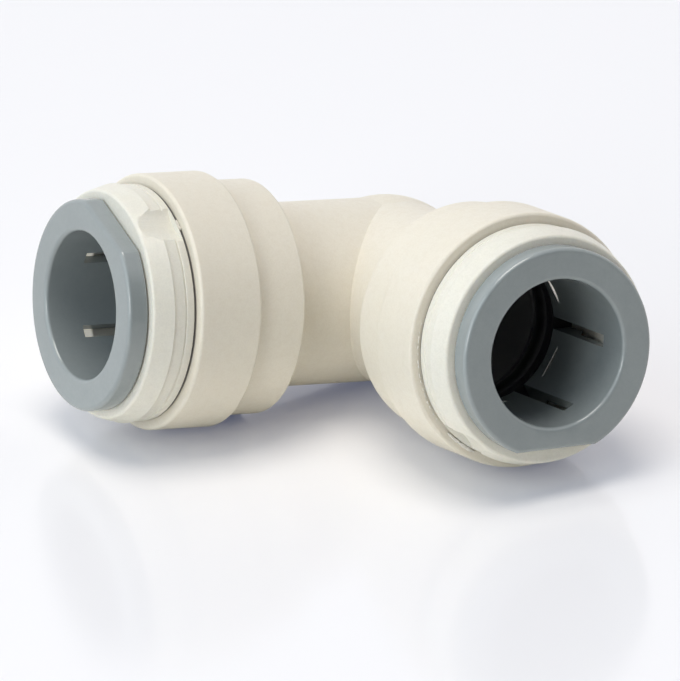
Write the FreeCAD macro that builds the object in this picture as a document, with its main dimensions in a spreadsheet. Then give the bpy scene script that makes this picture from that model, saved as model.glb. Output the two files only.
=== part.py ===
import FreeCAD, Part
import Sketcher
import os

# Equal elbow for push-fit tube, lying on a table as it comes to rest.
# The two tube axes cross at the elbow's centre. Port a opens towards -Y and port b towards +X,
# and both rise a little, because the elbow leans back onto its corner.
# The body is drawn with its axes level and its centre at its origin. Each port piece is drawn
# with the tube axis on its Z, so heights in its sketches are distances from the centre.

# Driving dimensions in millimetres and degrees, each with its meaning.
SIZES = {
    "tube_radius": (7.5, "outside radius of the tube that the fitting holds"),
    "collet_play": (0.1, "radial room between the tube and the collet's bore"),
    "socket_play": (0.15, "radial room between the tube and the body's socket"),
    "stop_ledge": (1.0, "how far the tube stop stands in from the tube's outside"),
    "stop_offset": (0.95, "how far the tube stop lies beyond the other arm's socket"),
    "socket_length": (8.65, "from the tube stop to the floor of the seal seat"),
    "mouth_depth": (8.7, "from the seal seat's edge to the body's rim"),
    "neck_wall": (1.85, "wall of the body round the tube socket"),
    "corner_swell": (0.25, "how far the corner ball stands proud of the necks"),
    "seal_wall": (2.05, "wall of the body round the seal seat"),
    "seal_back_wall": (1.2, "wall behind the seal seat's floor"),
    "rim_wall": (2.15, "wall of the body round the cap's skirt"),
    "rim_length": (7.0, "length of the body's widest ring"),
    "seal_cord": (2.6, "diameter of the seal's round cord"),
    "seal_squeeze": (0.1, "how far the free seal reaches into the tube's path"),
    "seal_room": (0.05, "radial room outside the seal in its seat"),
    "seal_end_room": (0.1, "room between the seal and the spacer ring"),
    "spacer_thickness": (1.1, "thickness of the spacer ring"),
    "spacer_play": (0.1, "radial room round the spacer ring"),
    "spacer_bore_play": (0.25, "radial room between the tube and the spacer ring"),
    "skirt_wall": (0.85, "wall of the cap's skirt inside the body"),
    "skirt_play": (0.05, "radial room of the cap's skirt in the body"),
    "weld_gap": (0.3, "width of the groove between the cap and the body's rim"),
    "weld_width": (0.35, "radial width of the cap's ledge that is welded to the rim"),
    "band_width": (1.12, "how far the cap's band stands out from the body's mouth"),
    "band_length": (2.3, "length of the cap's band beside the groove"),
    "collar_step": (0.18, "step from the cap's band up to its collar"),
    "collar_length": (2.2, "length of the cap's collar up to its front face"),
    "collar_taper": (0.6, "how much the collar narrows towards its front edge"),
    "line_depth": (0.1, "depth of the fine line cut round the cap's band"),
    "line_width": (0.24, "width of the fine line cut round the cap's band"),
    "line_height": (0.9, "from the cap's back face to its fine line"),
    "lip_length": (3.8, "length of the cap's straight bore behind its front face"),
    "cone_room": (1.6, "from the fingers' bumps to the wide end of the cap's cone"),
    "recess_depth": (0.75, "depth of the moulding notch below the cap's band"),
    "recess_radius": (5.0, "radius of the moulding notch's round floor"),
    "recess_rise": (5.5, "angle at which the notch's floor rises towards the front"),
    "barrel_wall": (1.15, "wall of the collet's barrel"),
    "barrel_play": (0.1, "radial room between the collet's barrel and the cap"),
    "finger_room": (0.5, "room between the fingers' inner ends and the spacer ring"),
    "flange_width": (2.1, "how far the collet's flange stands out from its barrel"),
    "flange_thickness": (2.1, "thickness of the collet's flange"),
    "flange_gap": (0.2, "gap between the collet's flange and the cap at rest"),
    "flat_depth": (1.0, "depth of the flat on the collet's flange"),
    "flat_angle": (32.0, "angle from a slot to the middle of the flange's flat"),
    "mouth_round": (0.45, "rounding of the collet's mouth"),
    "finger_count": (6, "number of fingers and teeth round a collet"),
    "slot_width": (1.3, "width of the slots between the fingers"),
    "slot_start": (1.9, "unslotted length of the barrel behind the flange"),
    "bump_height": (1.15, "how far a finger's bump stands out from the barrel"),
    "bump_length": (2.2, "length of the bump's top"),
    "bump_ramp": (1.4, "length of the ramp from the bump up to the barrel"),
    "bump_lead": (0.4, "bevel at the fingers' inner ends"),
    "bump_play": (0.2, "radial room between the bumps and the cap's chamber"),
    "tooth_place": (1.4, "from the fingers' inner ends to the teeth's edges"),
    "tooth_bite": (0.2, "how far a tooth's edge stands into the bore"),
    "tooth_cover": (0.66, "plastic left outside a tooth's root"),
    "tooth_width": (4.6, "width of a tooth across its finger"),
    "tooth_thickness": (0.3, "thickness of a tooth"),
    "tooth_lean": (0.7, "how far a tooth's root lies in front of its edge"),
    "tooth_play": (0.02, "room round a tooth in its finger"),
    "edge_round": (0.35, "rounding of the body's outer edges"),
    "step_round": (0.5, "rounding in the steps between the body's rings"),
    "collar_round": (0.22, "rounding of the cap's front edge"),
    "flange_round": (0.45, "rounding of the flange's front edge"),
    "recess_angle_a": (52.2, "clock angle of the notch at port a"),
    "recess_angle_b": (-128.0, "clock angle of the notch at port b"),
    "slot_angle_a": (33.0, "clock angle of the collet at port a"),
    "slot_angle_b": (-119.0, "clock angle of the collet at port b"),
}

# Radii, from the tube outwards.
COLLET_BORE = "Sizes.tube_radius + Sizes.collet_play"
SOCKET_BORE = "Sizes.tube_radius + Sizes.socket_play"
WATERWAY = "Sizes.tube_radius - Sizes.stop_ledge"
BARREL = f"{COLLET_BORE} + Sizes.barrel_wall"
FLANGE = f"{BARREL} + Sizes.flange_width"
BUMP = f"{BARREL} + Sizes.bump_height"
TOOTH_EDGE = f"{COLLET_BORE} - Sizes.tooth_bite"
TOOTH_ROOT = f"{BUMP} - Sizes.tooth_cover"
LIP_BORE = f"{BARREL} + Sizes.barrel_play"
CHAMBER = f"{BUMP} + Sizes.bump_play"
SKIRT = f"{CHAMBER} + Sizes.skirt_wall"
MOUTH_BORE = f"{SKIRT} + Sizes.skirt_play"
SEAL_MIDDLE = "Sizes.tube_radius - Sizes.seal_squeeze + Sizes.seal_cord / 2"
SEAL_SEAT = f"{SEAL_MIDDLE} + Sizes.seal_cord / 2 + Sizes.seal_room"
NECK = f"{SOCKET_BORE} + Sizes.neck_wall"
BALL = f"{NECK} + Sizes.corner_swell"
SEAL_RING = f"{SEAL_SEAT} + Sizes.seal_wall"
RIM_RING = f"{MOUTH_BORE} + Sizes.rim_wall"
WELD_LEDGE = f"{MOUTH_BORE} + Sizes.weld_width"
BAND = f"{MOUTH_BORE} + Sizes.band_width"
COLLAR = f"{BAND} + Sizes.collar_step"
COLLAR_FRONT = f"{COLLAR} - Sizes.collar_taper"

# Distances from the elbow's centre along a port's axis.
TUBE_STOP = f"{SOCKET_BORE} + Sizes.stop_offset"
SEAT_FLOOR = f"{TUBE_STOP} + Sizes.socket_length"
SEAT_EDGE = f"{SEAT_FLOOR} + Sizes.seal_cord + Sizes.seal_end_room"
SKIRT_END = f"{SEAT_EDGE} + Sizes.spacer_thickness"
RIM = f"{SEAT_EDGE} + Sizes.mouth_depth"
RIM_RING_BACK = f"{RIM} - Sizes.rim_length"
SEAL_RING_BACK = f"{SEAT_FLOOR} - Sizes.seal_back_wall"
CAP_BACK = f"{RIM} + Sizes.weld_gap"
CAP_LINE = f"{CAP_BACK} + Sizes.line_height"
COLLAR_BACK = f"{CAP_BACK} + Sizes.band_length"
CAP_FACE = f"{COLLAR_BACK} + Sizes.collar_length"
FLANGE_BACK = f"{CAP_FACE} + Sizes.flange_gap"
COLLET_FACE = f"{FLANGE_BACK} + Sizes.flange_thickness"
SLOT_TOP = f"{FLANGE_BACK} - Sizes.slot_start"
FINGER_END = f"{SKIRT_END} + Sizes.finger_room"
BUMP_TOP = f"{FINGER_END} + Sizes.bump_length"
TOOTH_BACK = f"{FINGER_END} + Sizes.tooth_place"
CONE_FRONT = f"{CAP_FACE} - Sizes.lip_length"
CONE_BACK = f"{BUMP_TOP} + Sizes.cone_room"

# Roundings take at most these shares of the step between the body's two rings.
EDGE_SHARE = 0.4
STEP_SHARE = 0.5
RING_STEP = f"{RIM_RING} - ({SEAL_RING})"
EDGE_ROUND = f"min(Sizes.edge_round; ({RING_STEP}) * {EDGE_SHARE})"
STEP_ROUND = f"min(Sizes.step_round; ({RING_STEP}) * {STEP_SHARE})"

# The elbow rests on the back edges of its two widest rings and on its corner ball. The sine
# of its tilt brings those three to one height, and the shift puts the origin under the
# middle of the whole object.
REST = {
    "foot_reach": f"({RIM_RING_BACK} + {EDGE_ROUND}) / sqrt(2)",
    "foot_radius": f"{RIM_RING} - {EDGE_ROUND}",
    "ball_height": f"{BALL} - {EDGE_ROUND}",
    "balance": "Rest.foot_reach ^ 2 + Rest.foot_radius ^ 2 / 2",
    "lift": "Rest.balance * (Rest.foot_radius ^ 2 - Rest.ball_height ^ 2)",
    "lever": "Rest.foot_reach * Rest.ball_height",
    "tilt_sine": "(sqrt(Rest.lift + Rest.lever ^ 2) - Rest.lever) / Rest.balance",
    "lead": "(1 + sqrt(1 - Rest.tilt_sine ^ 2)) / 2",
    "port_reach": f"({COLLET_FACE}) * Rest.lead + ({FLANGE}) * sqrt(1 - Rest.lead ^ 2)",
    "back_reach": f"{RIM_RING} + ({RIM}) * (1 - Rest.lead)",
    "shift": "(Rest.port_reach - Rest.back_reach) / 2",
}

# How far each port's axis leads along X and Y, and the rotation that turns Z to it.
PORTS = {
    "a": (0, -1, "rotation(vector(1; 0; 0); 90)"),
    "b": (1, 0, "rotation(vector(1; 1; 1); 120)"),
}

# Construction values that no size depends on.
CUT_OVERRUN = 1.0
FULL_TURN = 360
SAME = 1e-4


def make_sheet(doc):
    """Writes the driving dimensions into the document's sheet, each under its alias."""
    sheet = doc.addObject("Spreadsheet::Sheet", "Sizes")
    for row, (alias, (number, meaning)) in enumerate(SIZES.items(), start=1):
        sheet.set(f"A{row}", alias)
        sheet.set(f"B{row}", str(number))
        sheet.set(f"C{row}", meaning)
        sheet.setAlias(f"B{row}", alias)
    doc.recompute()


def make_rest(doc):
    """Works out how the elbow rests, as values tied to the sheet."""
    rest = doc.addObject("App::VarSet", "Rest")
    for name, expression in REST.items():
        rest.addProperty("App::PropertyFloat", name)
        rest.setExpression(name, expression)
        doc.recompute()


def value(doc, expression):
    """Returns the number that an expression on the sheet gives."""
    return float(doc.getObject("Sizes").evalExpression(expression))


def new_body(doc, label):
    """Starts a body whose label is the sub-part's name."""
    body = doc.addObject("PartDesign::Body", label)
    body.Label = label
    return body


def origin_feature(body, role):
    """Returns one of a body's own origin planes or axes."""
    return next(item for item in body.Origin.OriginFeatures if item.Role == role)


def new_sketch(body, name, role, lift="0", turn_axis="0; 0; 1", turn="0"):
    """Starts a sketch on an origin plane, lifted off it and turned by expressions."""
    sketch = body.newObject("Sketcher::SketchObject", name)
    sketch.AttachmentSupport = (origin_feature(body, role), [""])
    sketch.MapMode = "FlatFace"
    rotation = f"rotation(vector({turn_axis}); {turn})"
    sketch.setExpression("AttachmentOffset", f"placement(vector(0; 0; {lift}); {rotation})")
    return sketch


def place_corner(sketch, line, across, along):
    """Ties the start of a line to its distances from the sketch's axes."""
    for letter, expression, axis in (("X", across, -2), ("Y", along, -1)):
        if expression == "0":
            sketch.addConstraint(Sketcher.Constraint("PointOnObject", line, 1, axis))
            continue
        number = value(sketch.Document, expression)
        constraint = Sketcher.Constraint(f"Distance{letter}", -1, 1, line, 1, number)
        name = f"{letter.lower()}{line}"
        sketch.renameConstraint(sketch.addConstraint(constraint), name)
        sketch.setExpression(f"Constraints.{name}", expression)


def draw_outline(sketch, corners):
    """Closes a polygon through corners that are pairs of expressions on the sheet."""
    doc = sketch.Document
    points = [FreeCAD.Vector(value(doc, across), value(doc, along)) for across, along in corners]
    count = len(points)
    for index, point in enumerate(points):
        sketch.addGeometry(Part.LineSegment(point, points[(index + 1) % count]), False)
    for index in range(count):
        sketch.addConstraint(Sketcher.Constraint("Coincident", index, 2, (index + 1) % count, 1))
    for index, (across, along) in enumerate(corners):
        place_corner(sketch, index, across, along)


def draw_circle(sketch, across, radius):
    """Draws a circle on the sketch's X axis, its place and radius tied to the sheet."""
    doc = sketch.Document
    centre = FreeCAD.Vector(value(doc, across), 0)
    sketch.addGeometry(Part.Circle(centre, FreeCAD.Vector(0, 0, 1), value(doc, radius)), False)
    sketch.addConstraint(Sketcher.Constraint("PointOnObject", 0, 3, -1))
    place = Sketcher.Constraint("DistanceX", -1, 1, 0, 3, centre.x)
    size = Sketcher.Constraint("Radius", 0, value(doc, radius))
    for name, constraint, expression in (("place", place, across), ("size", size, radius)):
        sketch.renameConstraint(sketch.addConstraint(constraint), name)
        sketch.setExpression(f"Constraints.{name}", expression)


def turn_outline(body, kind, name, role, axis, corners):
    """Revolves an outline about a sketch axis, as added or removed material."""
    sketch = new_sketch(body, f"{name}Outline", role)
    draw_outline(sketch, corners)
    feature = body.newObject(kind, name)
    feature.Profile = sketch
    feature.ReferenceAxis = (sketch, [axis])
    feature.Angle = FULL_TURN
    body.Tip = feature
    body.Document.recompute()
    return feature


def cut_pocket(body, name, sketch, length, both_ways=False):
    """Cuts a sketch's outline along its normal and stops if that takes nothing away."""
    before = body.Tip.Shape.Volume
    pocket = body.newObject("PartDesign::Pocket", name)
    pocket.Profile = sketch
    pocket.Reversed = True
    pocket.Midplane = both_ways
    pocket.setExpression("Length", length)
    body.Tip = pocket
    body.Document.recompute()
    if pocket.Shape.Volume > before - SAME:
        raise RuntimeError(f"{name} cuts nothing")
    return pocket


def ring_edges(body, circles, axis):
    """Names the tip's edges that are circles of given distances and radii about an axis."""
    names = []
    for along, radius in circles:
        centre = axis * value(body.Document, along)
        size = value(body.Document, radius)
        for index, edge in enumerate(body.Tip.Shape.Edges, start=1):
            if edge.Degenerated or not isinstance(edge.Curve, Part.Circle):
                continue
            near = edge.Curve.Center.distanceToPoint(centre) < SAME
            if near and abs(edge.Curve.Radius - size) < SAME:
                names.append(f"Edge{index}")
    return names


def round_edges(body, name, edges, radius):
    """Rounds named edges of the body's last feature."""
    base = body.Tip
    fillet = body.newObject("PartDesign::Fillet", name)
    fillet.Base = (base, edges)
    fillet.setExpression("Radius", radius)
    body.Tip = fillet
    body.Document.recompute()


def seat(part, port, clock="0", distance="0"):
    """Places a sub-part on its port's axis, at a distance from the centre and clocked."""
    lead_x, lead_y, turn = PORTS[port]
    base = f"vector({lead_x} * ({distance}); {lead_y} * ({distance}); 0)"
    rotation = f"{turn} * rotation(vector(0; 0; 1); {clock})"
    part.setExpression("Placement", f"elbow_body.Placement * placement({base}; {rotation})")


def on_arm(port, corners):
    """Lays distance and radius pairs along a port's axis in the elbow's XY plane."""
    if port == "b":
        return corners
    return [(radius, "0" if along == "0" else f"-({along})") for along, radius in corners]


def make_elbow_body(doc):
    """Makes the moulded body: corner ball, necks and rings outside, stepped bores inside."""
    body = new_body(doc, "elbow_body")
    ball = body.newObject("PartDesign::AdditiveSphere", "CornerBall")
    ball.setExpression("Radius", BALL)
    outside = [
        ("0", "0"),
        (RIM, "0"),
        (RIM, RIM_RING),
        (RIM_RING_BACK, RIM_RING),
        (RIM_RING_BACK, SEAL_RING),
        (SEAL_RING_BACK, SEAL_RING),
        (SEAL_RING_BACK, NECK),
        ("0", NECK),
    ]
    beyond = f"{RIM} + {CUT_OVERRUN}"
    inside = [
        ("0", "0"),
        (beyond, "0"),
        (beyond, MOUTH_BORE),
        (SEAT_EDGE, MOUTH_BORE),
        (SEAT_EDGE, SEAL_SEAT),
        (SEAT_FLOOR, SEAL_SEAT),
        (SEAT_FLOOR, SOCKET_BORE),
        (TUBE_STOP, SOCKET_BORE),
        (TUBE_STOP, WATERWAY),
        ("0", WATERWAY),
    ]
    outer_rings = [(RIM, RIM_RING), (RIM_RING_BACK, RIM_RING), (SEAL_RING_BACK, SEAL_RING)]
    step_rings = [(RIM_RING_BACK, SEAL_RING), (SEAL_RING_BACK, NECK)]
    arms = {port: FreeCAD.Vector(*PORTS[port][:2]) for port in PORTS}
    sketch_axes = {"a": "V_Axis", "b": "H_Axis"}
    for port, axis in sketch_axes.items():
        turn_outline(body, "PartDesign::Revolution", f"Arm_{port}", "XY_Plane", axis, on_arm(port, outside))
    edges = [name for arm in arms.values() for name in ring_edges(body, outer_rings, arm)]
    round_edges(body, "RingEdges", edges, EDGE_ROUND)
    edges = [name for arm in arms.values() for name in ring_edges(body, step_rings, arm)]
    round_edges(body, "RingSteps", edges, STEP_ROUND)
    for port, axis in sketch_axes.items():
        turn_outline(body, "PartDesign::Groove", f"Bore_{port}", "XY_Plane", axis, on_arm(port, inside))
    passage = body.newObject("PartDesign::SubtractiveSphere", "CornerPassage")
    passage.setExpression("Radius", WATERWAY)
    body.Tip = passage
    centre = f"vector(-Rest.shift; Rest.shift; {BALL})"
    lean = "rotation(vector(-1; -1; 0); asin(Rest.tilt_sine))"
    body.setExpression("Placement", f"placement({centre}; {lean})")
    return body


def make_retaining_cap(doc, port):
    """Makes a retaining cap: collar and band outside, lip, cone and skirt inside, and a notch."""
    body = new_body(doc, f"retaining_cap_{port}")
    turn_outline(body, "PartDesign::Revolution", "Turned", "XZ_Plane", "V_Axis", [
        (LIP_BORE, CAP_FACE),
        (COLLAR_FRONT, CAP_FACE),
        (COLLAR, COLLAR_BACK),
        (BAND, COLLAR_BACK),
        (BAND, f"{CAP_LINE} + Sizes.line_width / 2"),
        (f"{BAND} - Sizes.line_depth", CAP_LINE),
        (BAND, f"{CAP_LINE} - Sizes.line_width / 2"),
        (BAND, CAP_BACK),
        (WELD_LEDGE, CAP_BACK),
        (WELD_LEDGE, RIM),
        (SKIRT, RIM),
        (SKIRT, SKIRT_END),
        (CHAMBER, SKIRT_END),
        (CHAMBER, CONE_BACK),
        (LIP_BORE, CONE_FRONT),
    ])
    front = ring_edges(body, [(CAP_FACE, COLLAR_FRONT)], FreeCAD.Vector(0, 0, 1))
    round_edges(body, "FrontEdge", front, "Sizes.collar_round")
    sketch = new_sketch(body, "RecessOutline", "XY_Plane", RIM, "0; 1; 0", "Sizes.recess_rise")
    draw_circle(sketch, f"{BAND} - Sizes.recess_depth + Sizes.recess_radius", "Sizes.recess_radius")
    cut_pocket(body, "Recess", sketch, f"{COLLET_FACE} - ({RIM})")
    seat(body, port, f"Sizes.recess_angle_{port}")
    return body


def tooth_corners(play):
    """Gives a tooth's section as radius and height pairs, grown by a play on every side."""
    edge = f"{TOOTH_EDGE} - {play}"
    root = f"{TOOTH_ROOT} + {play}"
    low = f"{TOOTH_BACK} - {play}"
    high = f"{TOOTH_BACK} + Sizes.tooth_thickness + {play}"
    return [
        (edge, low),
        (root, f"{low} + Sizes.tooth_lean"),
        (root, f"{high} + Sizes.tooth_lean"),
        (edge, high),
    ]


def make_collet(doc, port):
    """Makes a collet: flange with its flat, slotted barrel, bumped fingers and tooth pockets."""
    body = new_body(doc, f"collet_{port}")
    turn_outline(body, "PartDesign::Revolution", "Turned", "XZ_Plane", "V_Axis", [
        (COLLET_BORE, FINGER_END),
        (f"{BUMP} - Sizes.bump_lead", FINGER_END),
        (BUMP, f"{FINGER_END} + Sizes.bump_lead"),
        (BUMP, BUMP_TOP),
        (BARREL, f"{BUMP_TOP} + Sizes.bump_ramp"),
        (BARREL, FLANGE_BACK),
        (FLANGE, FLANGE_BACK),
        (FLANGE, COLLET_FACE),
        (COLLET_BORE, COLLET_FACE),
    ])
    outwards = FreeCAD.Vector(0, 0, 1)
    mouth = ring_edges(body, [(COLLET_FACE, COLLET_BORE)], outwards)
    round_edges(body, "MouthEdge", mouth, "Sizes.mouth_round")
    flat_sketch = new_sketch(body, "FlatOutline", "XY_Plane", FLANGE_BACK, turn="Sizes.flat_angle")
    flat = f"{FLANGE} - Sizes.flat_depth"
    beyond = f"{FLANGE} + {CUT_OVERRUN}"
    half_cut = f"({FLANGE})"
    draw_outline(flat_sketch, [
        (flat, f"-{half_cut}"),
        (beyond, f"-{half_cut}"),
        (beyond, half_cut),
        (flat, half_cut),
    ])
    cut_pocket(body, "Flat", flat_sketch, "Sizes.flange_thickness")
    face = ring_edges(body, [(COLLET_FACE, FLANGE)], outwards)
    round_edges(body, "FlangeEdge", face, "Sizes.flange_round")
    slot_sketch = new_sketch(body, "SlotOutline", "YZ_Plane")
    half = "Sizes.slot_width / 2"
    below = f"{FINGER_END} - {CUT_OVERRUN}"
    draw_outline(slot_sketch, [
        (f"-{half}", below),
        (half, below),
        (half, SLOT_TOP),
        (f"-{half}", SLOT_TOP),
    ])
    slot = cut_pocket(body, "Slot", slot_sketch, f"{BUMP} + {CUT_OVERRUN}")
    half_step = f"{FULL_TURN} / (2 * Sizes.finger_count)"
    tooth_sketch = new_sketch(body, "ToothOutline", "XZ_Plane", "0", "0; 1; 0", half_step)
    draw_outline(tooth_sketch, tooth_corners("Sizes.tooth_play"))
    tooth_length = "Sizes.tooth_width + 2 * Sizes.tooth_play"
    pocket = cut_pocket(body, "ToothPocket", tooth_sketch, tooth_length, both_ways=True)
    fingers = body.newObject("PartDesign::PolarPattern", "Fingers")
    fingers.Originals = [slot, pocket]
    fingers.Axis = (origin_feature(body, "Z_Axis"), [""])
    fingers.Angle = FULL_TURN
    fingers.setExpression("Occurrences", "Sizes.finger_count")
    body.Tip = fingers
    seat(body, port, f"Sizes.slot_angle_{port}")
    return body


def make_grip_tooth(doc, port, number):
    """Makes one steel grip tooth and sets it in the middle of its finger."""
    body = new_body(doc, f"grip_tooth_{port}{number}")
    sketch = new_sketch(body, "ToothSection", "XZ_Plane")
    draw_outline(sketch, tooth_corners("0"))
    blade = body.newObject("PartDesign::Pad", "Blade")
    blade.Profile = sketch
    blade.Midplane = True
    blade.setExpression("Length", "Sizes.tooth_width")
    body.Tip = blade
    steps = 2 * number - 1
    seat(body, port, f"Sizes.slot_angle_{port} + {steps} * {FULL_TURN} / (2 * Sizes.finger_count)")
    return body


def make_seal_ring(doc, port):
    """Makes the rubber sealing ring, lying on the floor of its seat."""
    ring = doc.addObject("Part::Torus", f"seal_ring_{port}")
    ring.Label = f"seal_ring_{port}"
    ring.setExpression("Radius1", SEAL_MIDDLE)
    ring.setExpression("Radius2", "Sizes.seal_cord / 2")
    seat(ring, port, distance=f"{SEAT_FLOOR} + Sizes.seal_cord / 2")
    return ring


def make_spacer_ring(doc, port):
    """Makes the spacer ring, held between the seal seat's edge and the cap's skirt."""
    disc = doc.addObject("Part::Cylinder", f"spacer_disc_{port}")
    disc.setExpression("Radius", f"{MOUTH_BORE} - Sizes.spacer_play")
    disc.setExpression("Height", "Sizes.spacer_thickness")
    hole = doc.addObject("Part::Cylinder", f"spacer_hole_{port}")
    hole.setExpression("Radius", "Sizes.tube_radius + Sizes.spacer_bore_play")
    hole.setExpression("Height", "Sizes.spacer_thickness")
    ring = doc.addObject("Part::Cut", f"spacer_ring_{port}")
    ring.Label = f"spacer_ring_{port}"
    ring.Base = disc
    ring.Tool = hole
    seat(ring, port, distance=SEAT_EDGE)
    return ring


def check_document(doc, parts):
    """Stops where any object has failed or any sub-part is not one sound solid."""
    doc.recompute()
    for item in doc.Objects:
        if "Invalid" in item.State or "Error" in item.State:
            raise RuntimeError(f"{item.Name} has failed: {item.State}")
    for part in parts:
        if part.Shape.isNull() or not part.Shape.isValid() or len(part.Shape.Solids) != 1:
            raise RuntimeError(f"{part.Label} is not one sound solid")


def main():
    """Builds every sub-part and writes each to its own STEP file."""
    doc = FreeCAD.newDocument("PushFitElbow")
    make_sheet(doc)
    make_rest(doc)
    parts = [make_elbow_body(doc)]
    tooth_numbers = range(1, round(value(doc, "Sizes.finger_count")) + 1)
    for port in PORTS:
        parts += [make_retaining_cap(doc, port), make_collet(doc, port)]
        parts += [make_seal_ring(doc, port), make_spacer_ring(doc, port)]
        parts += [make_grip_tooth(doc, port, number) for number in tooth_numbers]
    check_document(doc, parts)
    os.makedirs("parts", exist_ok=True)
    for part in parts:
        part.Shape.exportStep(f"parts/{part.Label}.step")


main()
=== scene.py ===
import logging
import math
import random
from collections.abc import Callable
from dataclasses import dataclass
from enum import Enum

import bmesh
import bpy
from mathutils import Matrix, Vector


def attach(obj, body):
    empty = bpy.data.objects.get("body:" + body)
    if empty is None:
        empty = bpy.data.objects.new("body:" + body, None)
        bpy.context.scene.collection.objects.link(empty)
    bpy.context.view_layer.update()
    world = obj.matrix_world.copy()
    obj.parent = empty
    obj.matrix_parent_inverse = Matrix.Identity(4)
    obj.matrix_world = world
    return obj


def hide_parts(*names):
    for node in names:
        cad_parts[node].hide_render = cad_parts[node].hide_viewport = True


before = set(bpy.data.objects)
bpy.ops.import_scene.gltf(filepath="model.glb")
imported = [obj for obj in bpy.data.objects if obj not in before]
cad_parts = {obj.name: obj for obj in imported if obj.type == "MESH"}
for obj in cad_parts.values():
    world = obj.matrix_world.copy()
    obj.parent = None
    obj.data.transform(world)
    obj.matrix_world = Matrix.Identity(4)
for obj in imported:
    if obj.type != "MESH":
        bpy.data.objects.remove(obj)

# Looks of an equal elbow for push-fit tube: a cream moulded body with a blue-grey collet,
# steel grip teeth, a spacer and a rubber seal in each port. Sizes of pieces are in
# millimetres, measured along a port's axis from the elbow's centre, as in the part's source.

LOG = logging.getLogger("elbow")
MM = 0.001
FITTING = "fitting"
Rgb = tuple[float, float, float]
Place = tuple[float, float, float]
Span = tuple[float, float]


@dataclass(frozen=True)
class Signal:
    """What an output socket carries, with arithmetic that adds Math nodes."""

    graph: "Graph"
    socket: bpy.types.NodeSocket

    def _math(self, operation: str, first: "Term", second: "Term") -> "Signal":
        """Adds one Math node on an upper and a lower value and returns its result."""
        return self.graph.node("ShaderNodeMath", {"operation": operation}, {0: first, 1: second})

    def __add__(self, other: "Term") -> "Signal":
        """Returns self + other."""
        return self._math("ADD", self, other)

    def __radd__(self, other: "Term") -> "Signal":
        """Returns other + self."""
        return self._math("ADD", other, self)

    def __sub__(self, other: "Term") -> "Signal":
        """Returns self - other."""
        return self._math("SUBTRACT", self, other)

    def __rsub__(self, other: "Term") -> "Signal":
        """Returns other - self."""
        return self._math("SUBTRACT", other, self)

    def __mul__(self, other: "Term") -> "Signal":
        """Returns self * other."""
        return self._math("MULTIPLY", self, other)

    def __rmul__(self, other: "Term") -> "Signal":
        """Returns other * self."""
        return self._math("MULTIPLY", other, self)

    def larger(self, other: "Term") -> "Signal":
        """Returns the larger of self and other."""
        return self._math("MAXIMUM", self, other)

    def ramp(self, low: float, high: float) -> "Signal":
        """Returns 0 below low and 1 above high, with a smooth rise between them."""
        settings = {"interpolation_type": "SMOOTHSTEP"}
        return self.graph.node("ShaderNodeMapRange", settings, {0: self, 1: low, 2: high})

    def about(self, middle: float, spread: float) -> "Signal":
        """Returns the signal's 0 to 1 laid over a spread about a middle value."""
        return self * spread + (middle - spread / 2.0)


Term = Signal | float


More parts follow.
